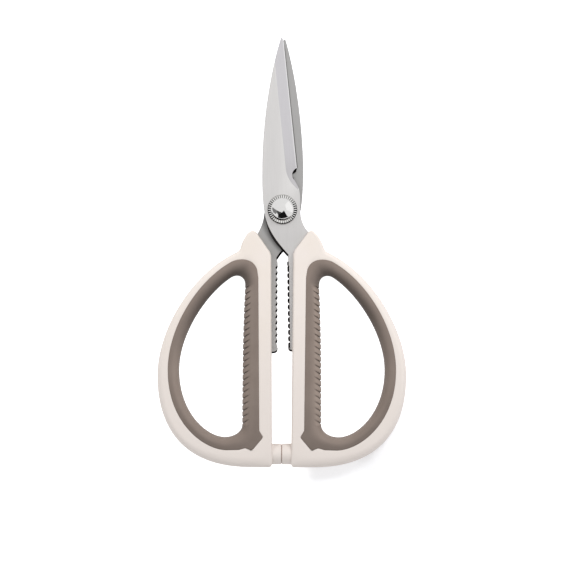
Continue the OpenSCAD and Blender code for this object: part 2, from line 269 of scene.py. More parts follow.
def far_side(bottom, wide, crown, low, high):
    """Up from the bottom to the widest point, then over to the crown. low and high are the lengths
    of the curves' handles, as shares of their spans."""
    out, up = wide - bottom
    back, over = wide[0] - crown[0], crown[1] - wide[1]
    lower = [bottom, bottom + at(low[0] * out, 0), wide - at(0, low[1] * up), wide]
    upper = [wide, wide + at(0, high[0] * over), crown + at(high[1] * back, -high[2] * over), crown]
    return np.vstack([bezier(lower, FAR_N), bezier(upper, FAR_N)])


HOLE_SIDE_TOP = at(HOLE_IN - HOLE_LEAN, HOLE_TOP - 4.3)
HOLE_SIDE_END = at(HOLE_IN, HOLE_BOTTOM + 5.8)


def hole_ring():
    """The edge of the finger hole. Its straight side bends towards the bar at the top, by the cube
    of the share that is left."""
    t = shares(SIDE_N)
    x = HOLE_IN - HOLE_LEAN * (1 - t) ** 3
    y = HOLE_SIDE_TOP[1] + t * (HOLE_SIDE_END[1] - HOLE_SIDE_TOP[1])
    foot = at(HOLE_IN + 8, HOLE_BOTTOM)
    crown = at(HOLE_SIDE_TOP[0] + 6.9, HOLE_TOP - 1.1)
    corner = [HOLE_SIDE_END, HOLE_SIDE_END - at(0, 3.4), at(HOLE_IN + 3.8, HOLE_BOTTOM), foot]
    over = [crown, crown + at(-3.2, 2.25), HOLE_SIDE_TOP + at(0, 4), HOLE_SIDE_TOP]
    return np.vstack(
        [
            np.column_stack([x, y]),
            bezier(corner, CORNER_N),
            far_side(foot, at(HOLE_FAR, WIDE_Y), crown, [0.4, 0.64], [0.375, 0.5, 0.19]),
            bezier(over, CROWN_N),
        ]
    )


def seam_ring(side_n):
    """The line between the hard frame and the soft grip, with the tab at its lower inner corner."""
    top = at(SEAM_IN + BAR_LEAN, SEAM_TOP - 8.7)
    end = at(SEAM_IN, SEAM_BOTTOM + 9.1)
    crown = at(top[0] + 12.7, SEAM_TOP - 1.3)
    foot = at(SEAM_IN + 15, SEAM_BOTTOM)
    tab_top = at(SEAM_IN - TAB_OUT, SEAM_BOTTOM + 0.75 * TAB_W)
    tab_low = tab_top + TAB_W * ray(TAB_TURN)
    tab = [end, tab_top, tab_low, tab_low + at(3.3, 1.1), tab_low + at(6.2, 0.25), foot]
    over = [crown, crown + at(-2.75, 1.6), top + at(0, 10.9), top]
    return np.vstack(
        [
            line(top, end, side_n),
            softened(tab, CORNER_N, 0.015),
            far_side(foot, at(SEAM_FAR, WIDE_Y), crown, [0.38, 0.67], [0.38, 0.56, 0.187]),
            bezier(over, CROWN_N),
        ]
    )


def rim_ring(seat, lift):
    """The outside of the hard frame, with the seat that the blade comes out of. lift raises the
    curve between the crown and the seat."""
    top = at(RIM_IN + BAR_LEAN, seat[1, 1] - 1.8)
    end = at(RIM_IN, RIM_BOTTOM + 2)
    heel = end + at(2.4, -2)
    floor = at(RIM_IN + 10.4, RIM_BOTTOM)
    wide = at(RIM_FAR, WIDE_Y - 2.5)
    crown = at(top[0] + 15.9, SEAM_TOP + 3.5)
    foot = crown + at(-1.5, 1.8)
    bend_n = 5 * CORNER_N // 8
    foot_n, rise_n, seat_n = 3 * CROWN_N // 14, CROWN_N // 2, CROWN_N // 7
    rise = [foot, foot + at(-1.2, 3.5 + lift), seat[0] + at(2.6, 2.7 + lift), seat[0]]
    return np.vstack(
        [
            line(top, end, PLAIN_N),
            bezier([end, end - at(0, 1.7), end + at(0.6, -2), heel], bend_n),
            line(heel, floor, CORNER_N - bend_n),
            far_side(floor, wide, crown, [0.76, 0.526], [0.356, 0.595, 0.18]),
            bezier([crown, crown + at(-0.8, 0.4), foot + at(0.2, -0.6), foot], foot_n),
            bezier(rise, rise_n),
            line(seat[0], seat[1], seat_n),
            line(seat[1], top, CROWN_N - foot_n - rise_n - seat_n),
        ]
    )


def frame_rounds():
    """How far the edge of a frame is rounded, across and down, at each of its stations."""
    bar, seat, crown = at(1.0, 1.6), at(0.7, 1), at(1.8, 3)
    bottom, side = at(FRAME_ROUND + 1.2, 3.4), at(FRAME_ROUND - 1, 3.4)
    over = CROWN_N * 10 // 14
    return np.vstack(
        [
            np.tile(bar, (PLAIN_N, 1)),
            line(bar, bottom, CORNER_N),
            bottom + (side - bottom) * smooth(1.6 * shares(FAR_N))[:, None],
            side + (crown - side) * (shares(FAR_N) ** 3)[:, None],
            line(crown, seat, over),
            line(seat, bar, CROWN_N - over),
        ]
    )


# ---- Rings ----

# The distance from the edge that is given to points the edge's finish doesn't reach
AWAY = 9.0


def ring_grid(seam, edge, flat, down, side):
    """A ring's points by station and by place round its section: up from the seam along the
    underside, round the edge as two quarter ellipses that begin at the outline flat, back over the
    top, and down the seam round its tongue. side is 1 for a ring inside the seam and -1 for one
    outside it. The second and third results are each point's distance from the edge and its normal
    in the section, away from the edge and up."""
    n = len(seam)
    across = np.linalg.norm(flat - edge, axis=1)
    towards = unit(flat - edge)
    back = side * inward(seam)
    key = seam + TONGUE_D * inward(seam)
    fillet = SEAM_FILLET
    xy, z, q, normal = [], [], [], []

    def put(place, height, distance=AWAY, nq=0.0, nz=0.0):
        xy.append(place)
        z.append(np.broadcast_to(height, n))
        q.append(np.broadcast_to(distance, n))
        normal.append(np.column_stack([np.broadcast_to(nq, n), np.broadcast_to(nz, n)]))

    def half(top):
        """One face: the underside is taken from the seam to the edge, and the top back again."""
        rows = [
            (seam, fillet, AWAY, 0.0, 0.0),
            (seam + back * 0.3 * fillet, 0.3 * fillet, AWAY, 0.0, 0.0),
        ]
        start = seam + back * fillet
        length = np.linalg.norm(start - flat, axis=1)
        for k in range(FLAT_N):
            s = k / FLAT_N
            rows.append((start + (flat - start) * s, 0.0, across + length * (1 - s), 0.0, -1.0))
        for k in range(ROUND_N + 1):
            a = math.radians(90 * k / ROUND_N)
            nq, nz = -math.sin(a) / across, -math.cos(a) / down
            size = np.hypot(nq, nz)
            reach = across * (1 - math.sin(a))
            place = edge + towards * reach[:, None]
            rows.append((place, down * (1 - math.cos(a)), reach, nq / size, nz / size))
        for place, height, distance, nq, nz in rows[::-1] if top else rows:
            put(place, THICK - height if top else height, distance, nq, -nz if top else nz)

    half(False)
    for k in range(1, WALL_N):
        put(edge, down + (THICK - 2 * down) * k / WALL_N, 0.0, -1.0, 0.0)
    half(True)
    for place, height in [(seam, 1), (key, 1), (key, -1), (seam, -1)]:
        put(place, MID_Z + height * TONGUE_H / 2)
    x, y = (np.stack([p[:, k] for p in xy], 1) for k in range(2))
    return np.dstack([x, y, np.stack(z, 1)]), np.stack(q, 1), np.stack(normal, 1)


# Places tried along the seam for each section of a frame, and how many on each side are averaged
TRIED_N = 1200
SPREAD_N = 8


def frame_grid(seat, lift):
    """The hard frame without its stop peg and its slot for the tang."""
    seam, rim = seam_ring(PLAIN_N), rim_ring(seat, lift)
    rounds = frame_rounds()
    across = np.minimum(rounds[:, 0], outline_gap(rim, seam) - FRAME_FLAT)
    flat = rim + inward(rim) * across[:, None]
    corner_end = PLAIN_N + CORNER_N
    bend = at(RIM_IN + across[0], RIM_BOTTOM + 15)
    floor = flat[corner_end]
    corner = [bend, bend - at(0, 8), floor - at(4.5, 0), floor]
    flat[:PLAIN_N] = line(flat[0], bend, PLAIN_N)
    flat[PLAIN_N:corner_end] = bezier(corner, CORNER_N)
    # From the widest point on, each section starts at the nearest place on the seam
    start = corner_end + FAR_N
    rest = np.vstack([seam, seam[:1]])[start:]
    tried = between(rest, np.linspace(0, len(rest) - 1, TRIED_N))
    near = np.linalg.norm(flat[start:, None] - tried[None], axis=-1).argmin(1)
    near = np.pad(np.maximum.accumulate(near), SPREAD_N, constant_values=(0, TRIED_N - 1))
    window = 2 * SPREAD_N + 1
    near = np.convolve(near, np.ones(window) / window, mode="valid")
    near[0] = 0
    seam[start:] = between(tried, near)
    return ring_grid(seam, rim, flat, rounds[:, 1], -1)[0]


def grip_grid(bright_side):
    """The soft grip and the painted shade at each point. Along its straight side the surface is
    pushed in by a saw-toothed wave, steep just above each groove, which rises away from the edge
    and fades out. Painted shade darkens the grooves, the slope under the crown and a strip beside
    the seam.
    Painted light lightens the ribbed strip and, by the hole, what faces up the handle or to
    bright_side, 1 for +X and -1 for -X."""
    hole, seam = hole_ring(), seam_ring(SIDE_N)
    n = len(seam)
    # high grows to 1 up the far side, falls to 0.7 over the crown, and soon to 0 down the side
    high = np.zeros(n)
    high[-CROWN_N - FAR_N : -CROWN_N] = smooth(1.5 * shares(FAR_N))
    high[-CROWN_N:] = 1 - 0.3 * smooth(1.5 * shares(CROWN_N) - 0.5)
    high[:SIDE_N] = 0.7 * smooth(1 - 18 * shares(SIDE_N))
    gap = outline_gap(hole, seam)
    across = np.minimum(GRIP_ROUND + CROWN_ROUND * high, gap - GRIP_FLAT)
    towards = unit(seam - hole)
    flat = hole + towards * across[:, None]
    points, q, normal = ring_grid(seam, hole, flat, np.full(n, MID_Z - 1), 1)

    # count is how many ribs lie above a point, and phase is its place in its rib
    straight = (np.arange(n) < SIDE_N)[:, None]
    count = (RIB_TOP - points[..., 1]) / RIB_PITCH
    phase = (count + RIB_SLANT * q / RIB_PITCH) % 1
    floor = np.clip((RIB_GROOVE - phase) / RIB_GROOVE, 0, 1) ** 1.4
    groove = np.maximum(floor, smooth((phase - (1 - RIB_LIP)) / RIB_LIP))
    ends = smooth((count + 0.5) / 0.3) * smooth((RIB_COUNT - 0.4 - count) / 0.3)
    ribbed = straight * ends * smooth((RIB_REACH - q) / RIB_FADE)
    groove = groove * ribbed
    depth = RIB_DEPTH * groove
    points[..., :2] -= (depth * normal[..., 0])[..., None] * towards[:, None]
    points[..., 2] -= depth * normal[..., 1]

    # share is how far a point is from the hole towards the seam
    share = q / gap[:, None]
    high = high[:, None]
    # Painted light where a slope by the hole faces the light, and painted shade under the crown,
    # beside the seam and in the grooves
    lean, lift = -towards[:, :1], np.maximum(-towards[:, 1:], 0)
    sideways = SIDE_LIGHT * bright_side * lean * smooth((0.75 - share) / 0.45)
    facing = sideways + UP_LIGHT * lift * smooth(1 - share / 0.6)
    under = CROWN_DARK * (high * smooth(1.1 - share))
    beside = SEAM_DARK + LOW_SEAM_DARK * lift
    beside = (1 - high) * beside * smooth((share - 0.45) / 0.4)
    dark = groove * (GROOVE_DARK - 0.3 * smooth(q / 2.2))
    light = (1 + RIBBED_LIGHT * ribbed) * (1 - dark) * (1 - under) * (1 + facing) * (1 - beside)
    return points, 1 - light


# ---- Meshes ----

WELD = 2e-7
BOX_FACES = [[0, 1, 3, 2], [4, 6, 7, 5], [0, 4, 5, 1], [2, 3, 7, 6], [0, 2, 6, 4], [1, 5, 7, 3]]


def new_mesh(name, points, faces, shade=None):
    """A mesh of points in millimetres, with a shade for each where they are given."""
    mesh = bpy.data.meshes.new(name)
    mesh.from_pydata((points * MM).tolist(), [], faces)
    if shade is not None:
        mesh.attributes.new("shade", "FLOAT", "POINT").data.foreach_set("value", shade.ravel())
    return mesh


def grid_faces(n, m, close_n=True, close_m=True):
    """Four-sided faces of an n by m grid, joined end to end along each way that is closed."""
    rows, columns = np.arange(n if close_n else n - 1), np.arange(m if close_m else m - 1)
    i, j = np.meshgrid(rows, columns, indexing="ij")
    a, b = i * m + j, (i + 1) % n * m + j
    c, d = (i + 1) % n * m + (j + 1) % m, i * m + (j + 1) % m
    return np.stack([a, b, c, d], -1).reshape(-1, 4).tolist()


def tube_faces(n, m):
    """Faces of n stations of m points, closed round the stations and over both ends."""
    ends = [[m * i for i in range(n)], [m * i + m - 1 for i in range(n)]]
    return grid_faces(n, m, True, False) + ends


def clean(mesh):
    """Merges doubles, closes poles and turns the faces outwards."""
    bm = bmesh.new()
    bm.from_mesh(mesh)
    bmesh.ops.remove_doubles(bm, verts=bm.verts, dist=WELD)
    bmesh.ops.dissolve_degenerate(bm, edges=bm.edges, dist=WELD)
    bmesh.ops.recalc_face_normals(bm, faces=bm.faces)
    bm.to_mesh(mesh)
    bm.free()
    return mesh


def moved(mesh, change):
    """The mesh with its points, in millimetres, put through a function."""
    points = np.empty((len(mesh.vertices), 3), np.float32)
    mesh.vertices.foreach_get("co", points.ravel())
    points = points.astype(float) / MM
    mesh.vertices.foreach_set("co", (change(points) * MM).ravel())
    return mesh


def lifted(points):
    """Points measured from the pivot, moved to the frame that all the tools share."""
    return points + [0, PIVOT_Y, 0]


def box(name, x, y, z, place=None):
    """A box between two values of x, y and z, whose corners place may move."""
    corners = np.array([[i, j, k] for i in x for j in y for k in z], float)
    return clean(new_mesh(name, place(corners) if place else corners, BOX_FACES))


def lathe(name, profile, n=160, wave=None):
    """A profile of (radius, height) carried round the pivot. It closes on itself or on the axis.
    wave, if given, adds a height that depends on the radius and on the angle."""
    profile = np.array(profile, float)
    r, z = profile[:, 0][None], profile[:, 1][None]
    a = (shares(n) * 2 * np.pi)[:, None]
    z = z + (wave(r, z, a) if wave else 0 * a)
    points = np.stack([r * np.cos(a), r * np.sin(a), z + 0 * a], -1).reshape(-1, 3)
    closed = profile[0, 0] > 0
    return clean(new_mesh(name, lifted(points), grid_faces(n, len(profile), True, closed)))


def cut(mesh, operation, cutter):
    """The mesh after a Boolean with another closed mesh."""
    body, tool = (bpy.data.objects.new(m.name, m) for m in (mesh, cutter))
    for o in (body, tool):
        bpy.context.scene.collection.objects.link(o)
    boolean = body.modifiers.new("cut", "BOOLEAN")
    boolean.operation, boolean.solver, boolean.object = operation, "EXACT", tool
    graph = bpy.context.evaluated_depsgraph_get()
    result = bpy.data.meshes.new_from_object(body.evaluated_get(graph))
    result.name = mesh.name
    for o in (body, tool):
        bpy.data.objects.remove(o)
    return result


def piece(name, mesh, material, body, node, crease=32.0):
    """A finished piece: smooth but for edges sharper than crease degrees, riding on its body in
    the place of a CAD node."""
    mesh.materials.clear()
    mesh.materials.append(material)
    mesh.shade_smooth()
    mesh.set_sharp_from_angle(angle=math.radians(crease))
    o = bpy.data.objects.new(name, mesh)
    bpy.context.scene.collection.objects.link(o)
    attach(o, body)
    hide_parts(node)


# ---- Blades ----

TIP = at(-0.4, TIP_REACH - TIP_R)
NOTCH = HEEL + NOTCH_R * at(0.365, -0.93)
EDGE_TIP = TIP + at(TIP_R, 0)
EDGE_WAY = unit(EDGE_TIP - HEEL)

# One tooth of each half, as rows of: share of the pitch below its point, x of the upper face's
# edge, and the step from there to the edge of the lower face, across and down
BACK_TOOTH = np.array(
    [
        [0, 2.35, -0.15, -0.1],
        [0.05, 2.44, -0.35, -0.5],
        [0.44, 3.2, -0.85, -0.4],
        [0.5, 3.08, -0.5, -0.3],
        [0.62, 2.7, -0.06, 0],
        [0.74, 2.54, 0, 0],
        [0.88, 2.42, 0, 0],
    ]
)
FRONT_TOOTH = np.array(
    [
        [0, 3.28, -0.08, 0],
        [0.07, 3.26, -0.16, 0],
        [0.11, 3.22, -0.6, 0],
        [0.2, 3.2, -0.8, 0],
        [0.45, 3.2, -0.9, 0],
        [0.68, 3.2, -0.86, 0],
        [0.84, 3.22, -0.66, 0],
        [0.9, 3.24, -0.4, 0],
        [0.95, 3.26, -0.1, 0],
    ]
)


def blade_outline(front):
    """The outline of the upper face from the tip down the spine, along the teeth, round the tang
    and up the cutting edge, then the steps from it to the outline of the lower face, and the height
    over which each step is made. The stamped sides of the fork, the teeth and the bone notch slope,
    and the cutting edge is honed."""
    parts, steps, rises = [], [], []

    def put(points, step=(0, 0), rise=BLADE_T - BAND_H):
        parts.append(np.atleast_2d(points))
        steps.append(np.broadcast_to(step, parts[-1].shape))
        rises.append(np.broadcast_to(rise, len(parts[-1])))

    # What differs between the halves
    if front:
        spine, tip, belly_pull = SPINE_X + 0.2, TIP + at(-0.15, 0), 0.48
        fork_end, fork_pull, reach = at(2.9, -21.1), at(-7.4, -9.6), 22
        tooth, pitch, count, lean = FRONT_TOOTH, 2.94, 12, 0.0167
        first, low_pitches = -29.35, 1
        end_x, end_y, bulge_x = 3.8, -65.4, 2.9
        corner = FRONT_SEAT[0]
    else:
        spine, tip, belly_pull = SPINE_X + 0.4, TIP + at(-0.4, -0.8), 0.43
        fork_end, fork_pull, reach = at(2.75, -22.6), at(-0.75, -15.5), 33.2
        tooth, pitch, count, lean = BACK_TOOTH, 2.88, 13, 0.0
        first, low_pitches = -25.95, 0.6
        end_x, end_y, bulge_x = 2.9, -66.3, 2.1
        corner = BACK_SEAT[0]

    # Down the spine, then the fork between the bars
    belly = at(-spine, 17)
    shoulder, waist = at(-0.73 * SPINE_X, 0.75 * TIP_REACH), at(-spine, belly_pull * TIP_REACH)
    put(bezier([tip + TIP_R * ray(160), shoulder, waist, belly], 60))
    fork = bezier([belly, belly - at(0, reach), fork_pull, fork_end], 70)
    slope = smooth((-2 - fork[:, 1]) / 10) * (1 - 0.2 * smooth((-14 - fork[:, 1]) / 4))
    put(fork, slope[:, None] * [-0.65, -0.95])
    put(fork_end, (-0.45, -0.55))
    if front:
        put([[2.8, -22.2], [2.75, -24.1]], (-0.05, 0))
        put([[2.95, -24.6], [3.0, -25.9]], (-0.7, 0))
        put([[3.2, -26.4], [3.22, -26.8]], [(-0.55, 0), (-0.85, 0)])
        put([[3.22, -28.9]], (-0.8, 0))
    else:
        put([[2.45, -23.6], [2.2, -24.9]])

    # Every tooth at once, by tooth and by row
    top = first - pitch * np.arange(count)[:, None]
    y = top - pitch * tooth[None, :, 0]
    x = tooth[None, :, 1] + lean * (first - y)
    put(np.stack([x, y], -1).reshape(-1, 2), np.tile(tooth[:, 2:], (count, 1)))

    # The rounded end of the bar, then the tang
    low = top[-1, 0] - pitch * low_pitches
    bulge = at(bulge_x, end_y + 1.6)
    put(bezier([at(end_x, low), at(bulge[0] + 0.3, low - 0.7), bulge + at(-0.05, 0.8), bulge], 8))
    turn = [bulge, bulge - at(-0.05, 0.9), at(bulge[0] + 0.8, end_y), at(TANG_INNER_X - 1, end_y)]
    bend = bezier(turn, 12)
    drop = -0.8 * smooth((bulge[1] - bend[:, 1]) / 0.9)
    put(bend, np.column_stack([np.full(len(bend), -0.1), drop]))
    put([[TANG_INNER_X, end_y]], (0, -0.8))
    tang_x = BAR_X + TANG_W
    put(
        [
            [TANG_INNER_X, TANG_END_Y],
            [tang_x - 0.8, TANG_END_Y],
            [tang_x, TANG_END_Y + 1.5],
            [tang_x, SEAT[1] - 15],
            [SEAT[0] - 0.4, SEAT[1] - 10],
            [SEAT[0] + 1.1, SEAT[1] - 5],
            [SEAT[0] + 0.9, SEAT[1] - 2.2],
        ]
    )

    # From the seat up to the bone notch, and the cutting edge
    neck = at(ROOT_X, 3)
    put(bezier([corner, at(ROOT_X + 0.73, SEAT[1] + 4.1), at(ROOT_X, -3.5), neck], 24))
    foot = NOTCH + NOTCH_R * ray(192)
    put(bezier([neck, at(ROOT_X, 9.3), at(ROOT_X - 0.4, 9.6), foot], 24))
    notch = arc(NOTCH, NOTCH_R, 192, 111.4, 24)
    hollow = np.sin(np.pi * np.clip(np.linspace(-0.22, 0.97, 25), 0, 1)) ** 0.8
    put(notch, unit(NOTCH - notch) * (NOTCH_SLOPE * hollow)[:, None])
    edge_end = tip + at(TIP_R, 0)
    edge_start = HEEL + HEEL_GAP * unit(edge_end - HEEL)
    put(line(edge_start, edge_end, 12), (HONE_W, 0.0), EDGE_T)
    put(arc(tip, TIP_R, 0, 150, 8))
    return np.vstack(parts), np.vstack(steps), np.concatenate(rises)


def plate(name, outline, step, rise, low, high):
    """A flat plate with a small chamfer round each face. Its side slopes from the lower outline,
    step away, and meets the upper outline at the height rise."""
    into = inward(outline)
    n = len(outline)
    rings = [
        (outline + step + into * LOW_CHAMFER, low),
        (outline + step, low + LOW_CHAMFER),
        (outline, low + np.minimum(rise, high - low - HIGH_CHAMFER)),
        (outline, high - HIGH_CHAMFER),
        (outline + into * HIGH_CHAMFER, high),
    ]
    points = np.stack([np.column_stack([p, np.broadcast_to(z, n)]) for p, z in rings], 1)
    return clean(new_mesh(name, points.reshape(-1, 3), tube_faces(n, len(rings))))


def bevel_cutters():
    """What the grinding wheel takes off the outer face: a wedge along the edge, and the wheel at
    the heel. Both are drawn along the edge, across the slope and out of it."""
    slope = math.atan2(BLADE_T - EDGE_T, BEVEL_W)
    x_axis = np.array([EDGE_WAY[0], EDGE_WAY[1], 0])
    side = np.array([-EDGE_WAY[1], EDGE_WAY[0], 0])
    y_axis = side * math.cos(slope) + np.array([0, 0, math.sin(slope)])
    z_axis = np.cross(x_axis, y_axis)
    start = np.array([HEEL[0], HEEL[1], FRONT_Z + EDGE_T])

    def place(local):
        return start + local[:, :1] * x_axis + local[:, 1:2] * y_axis + local[:, 2:] * z_axis

    wedge = box("wedge", (0, 2 * TIP_REACH), (-BEVEL_W, 2 * BEVEL_W), (0, 6), place)
    a = shares(WHEEL_N) * 2 * np.pi
    rim = np.column_stack([WHEEL_R * np.sin(a), 0 * a, WHEEL_R * (1 - np.cos(a))])
    ends = np.stack([rim - [0, BEVEL_W, 0], rim + [0, 2 * BEVEL_W, 0]], 1).reshape(-1, 3)
    return wedge, clean(new_mesh("wheel", place(ends), tube_faces(WHEEL_N, 2)))


def blade_mesh(name, front):
    """The plate, ground by the wheel. The front one has a round bore and the back one a square
    hole. The back one is drawn as the front half, so its visible inner face is the lower one."""
    outline, step, rise = blade_outline(front)
    if front:
        mesh = plate(name, outline, step, rise, FRONT_Z, FACE_Z)
    else:
        step = step * (rise[:, None] > EDGE_T)
        mesh = plate(name, outline, step, rise, -FACE_Z, -FRONT_Z)
        moved(mesh, lambda points: points * [1, 1, -1])
        mesh.flip_normals()
    for tool in bevel_cutters():
        mesh = cut(mesh, "DIFFERENCE", tool)
    low, high = -5, 20
    if front:
        hole = lathe("bore", [(0, low), (BORE_R, low), (BORE_R, high), (0, high)], 96)
        hole.transform(Matrix.Translation((0, -PIVOT_Y * MM, 0)))
    else:
        side = (-SQUARE_HALF, SQUARE_HALF)
        hole = box("square", side, side, (low, high))
    mesh = cut(mesh, "DIFFERENCE", hole)
    return clean(moved(mesh, lambda points: lifted(points if front else turned(points))))


# ---- Frames, grips and pivot ----


def peg_mesh():
    """The stop peg: a round bar with a rim stepped back from its face, carried along X into the
    frame."""
    face, step, deep = 0.02, 0.19, RIM_IN + 3
    r = STOP_D / 2
    profile = np.array(
        [
            [0, face],
            [r - 0.5, face],
            [r - 0.45, step],
            [r - 0.06, step],
            [r, step + 0.06],
            [r, deep],
            [0, deep],
        ]
    )
    n = 96
    a = (shares(n) * 2 * np.pi)[:, None]
    r, x = profile[:, 0][None], profile[:, 1][None]
    y, z = RIM_BOTTOM + STOP_UP + r * np.cos(a), MID_Z + r * np.sin(a)
    points = np.stack([x + 0 * a, y, z], -1).reshape(-1, 3)
    return clean(new_mesh("peg", points, grid_faces(n, len(profile), True, False)))


def frame_mesh(name, front):
    """The loft of the frame, joined with the peg, cut by the tang and, for the back half, turned
    over."""
    seat, lift = (FRONT_SEAT, FRONT_LIFT) if front else (BACK_SEAT, BACK_LIFT)
    grid = frame_grid(seat, lift)
    n, m, _ = grid.shape
    mesh = clean(new_mesh(name, grid.reshape(-1, 3), grid_faces(n, m)))
    mesh = cut(mesh, "UNION", peg_mesh())
    outline, step, rise = blade_outline(front)
    mesh = cut(mesh, "DIFFERENCE", plate("slot", outline, step * 0, rise, FRONT_Z, FACE_Z))
    return clean(moved(mesh, lambda points: lifted(points if front else turned(points))))


def grip_mesh(name, front):
    """The loft of the grip with its painted shade, turned over for the back half."""
    grid, shade = grip_grid(1 if front else -1)
    n, m, _ = grid.shape
    points = grid.reshape(-1, 3)
    points = lifted(points if front else turned(points))
    return clean(new_mesh(name, points, grid_faces(n, m), shade))


def nut_mesh(name):
    """The cap nut: a round wall under a cap of a sphere, with the thread bored into it from
    below."""
    foot, top, dome_r, thread_r, thread_h = 10.02, 15.1, 7.45, 2.55, 3.3
    a = np.linspace(math.asin((NUT_R - 0.03) / dome_r), 0, 48)
    dome = np.column_stack([dome_r * np.sin(a), top - dome_r * (1 - np.cos(a))])
    bore = [(0, foot + thread_h), (thread_r, foot + thread_h), (thread_r, foot)]
    wall = [(NUT_R - 0.05, foot), (NUT_R, foot + 0.05), (NUT_R, dome[0, 1] - 0.06)]
    return lathe(name, np.vstack([bore, wall, dome]), 192)


WASHER_PROFILE = [
    (2.55, 9.95),
    (2.55, 9.0),
    (6.9, 9.0),
    (WASHER_R, 9.1),
    (WASHER_R, 9.42),
    (6.9, 9.55),
    (6.76, 9.7),
    (6.6, 9.88),
    (6.4, 9.95),
    (6.1, 9.97),
    (5.8, 9.98),
    (5.5, 10.0),
    (5.35, 10.0),
    (5.2, 10.0),
    (5.0, 9.95),
]


def washer_wave(r, z, a):
    """Radial serrations: outside the nut and on the upper side only, the height falls by a rounded
    triangle wave round the ring."""
    depth, inner_r, under_z = 0.42, 5.2, 9.7
    share = (a * SERRATIONS / (2 * np.pi)) % 1
    valley = smooth(1.15 - np.abs(2 * share - 1) * 1.6)
    return -depth * valley * smooth((r - inner_r) / 0.15) * (z > under_z)


def screw_mesh(name):
    """The screw: a low domed head with a slot, a round neck that stays inside the back blade's
    square hole, the shank and the threaded end."""
    head_r, head_top, head_h, slot_half = 6.5, 3.05, 2.0, 0.7
    a = np.radians(np.linspace(0, 90, 20))
    head = np.column_stack([head_r * np.sin(a), head_top - head_h + head_h * (1 - np.cos(a))])
    neck = [(head_r, head_top), (3.0, head_top), (3.0, 9.0)]
    thread = [(2.5, 9.0), (2.5, 12.8), (2.3, 13.0), (0, 13.0)]
    mesh = lathe(name, np.vstack([head[:-1], neck, thread]))
    slot = box("slot_tool", (-8, 8), (-slot_half, slot_half), (-0.1, 1.05 + 0.9), lifted)
    return clean(cut(mesh, "DIFFERENCE", slot))


# ---- Materials ----


class Wire:
    """One output of a material's nodes. Arithmetic on wires adds Math nodes."""

    def __init__(self, paint, socket):
        self.paint, self.socket = paint, socket

    def math(self, operation, a, b=0.0):
        return self.paint.node("ShaderNodeMath", {"operation": operation}, {0: a, 1: b})

    def __add__(self, other):
        return self.math("ADD", self, other)

    __radd__ = __add__

    def __sub__(self, other):
        return self.math("SUBTRACT", self, other)

    def __rsub__(self, other):
        return self.math("SUBTRACT", other, self)

    def __mul__(self, other):
        return self.math("MULTIPLY", self, other)

    __rmul__ = __mul__

    def __truediv__(self, other):
        return self.math("DIVIDE", self, other)

    def __pow__(self, other):
        return self.math("POWER", self, other)

    def larger(self, other):
        return self.math("MAXIMUM", self, other)

    def absolute(self):
        return self.math("ABSOLUTE", self)

    def ramp(self, low, high):
        """0 where the value is low, 1 where it is high, and smooth between."""
        ends = {0: self, 1: low, 2: high, 3: 0.0, 4: 1.0}
        return self.paint.node("ShaderNodeMapRange", {"interpolation_type": "SMOOTHSTEP"}, ends)


class Paint:
    """A material in the making."""

    def __init__(self, name):
        self.material = bpy.data.materials.new(name)
        self.material.use_nodes = True
        self.tree = self.material.node_tree
        self.tree.nodes.clear()
        self.place = self.node("ShaderNodeTexCoord", out="Object")

    def node(self, kind, settings=None, sockets=None, out=0):
        """Adds a node with its settings, then the values or wires of its sockets, and gives one
        output, or the node where it has none."""
        n = self.tree.nodes.new(kind)
        for key, value in (settings or {}).items():
            setattr(n, key, value)
        for key, value in (sockets or {}).items():
            if isinstance(value, Wire):
                self.tree.links.new(value.socket, n.inputs[key])
            else:
                n.inputs[key].default_value = value
        return Wire(self, n.outputs[out]) if n.outputs else n

    def parts(self):
        """x, y and z in millimetres."""
        split = self.node("ShaderNodeSeparateXYZ", {}, {0: self.place}).socket.node
        return [Wire(self, split.outputs[k]) * 1000.0 for k in range(3)]

    def noise(self, scale, detail=3.0, roughness=0.5, stretch=(1, 1, 1)):
        """Noise from -0.5 to 0.5, with scale features a millimetre along each stretched axis."""
        factors = tuple(1000.0 * scale * s for s in stretch)
        place = {0: self.place, 1: factors}
        v = self.node("ShaderNodeVectorMath", {"operation": "MULTIPLY"}, place)
        sockets = {"Vector": v, "Scale": 1.0, "Detail": detail, "Roughness": roughness}
        return self.node("ShaderNodeTexNoise", {}, sockets) - 0.5

    def mix(self, share, a, b):
        """Colour a where share is 0 and b where it is 1."""
        a, b = (c if isinstance(c, Wire) else (*c, 1.0) for c in (a, b))
        return self.node("ShaderNodeMix", {"data_type": "RGBA"}, {0: share, 6: a, 7: b}, 2)

    def shade(self, colour, amount):
        """A colour times an amount."""
        sockets = {0: colour, "Scale": amount}
        return self.node("ShaderNodeVectorMath", {"operation": "SCALE"}, sockets)

    def bump(self, height, strength):
        """A normal from a height in millimetres."""
        sockets = {"Strength": strength, "Distance": MM, "Height": height}
        return self.node("ShaderNodeBump", {}, sockets)

    def glow(self, level):
        return self.node("ShaderNodeEmission", {}, {"Color": (1, 1, 1, 1), "Strength": level})

    def show(self, shader):
        """Closes the material with one shader."""
        self.node("ShaderNodeOutputMaterial", {}, {0: shader})
        return self.material

    def finish(self, colour, roughness, normal=None, metallic=0.0, specular=0.5):
        """Closes the material with the usual shader for solids."""
        sockets = {
            "Base Color": colour,
            "Metallic": metallic,
            "Roughness": roughness,
            "Specular IOR Level": specular,
        }
        if normal:
            sockets["Normal"] = normal
        return self.show(self.node("ShaderNodeBsdfPrincipled", {}, sockets))


def linear(r, g, b):
    """A colour of the screen, 0 to 255, as light."""
    return tuple(
        c / 255 / 12.92 if c <= 10 else ((c / 255 + 0.055) / 1.055) ** 2.4 for c in (r, g, b)
    )


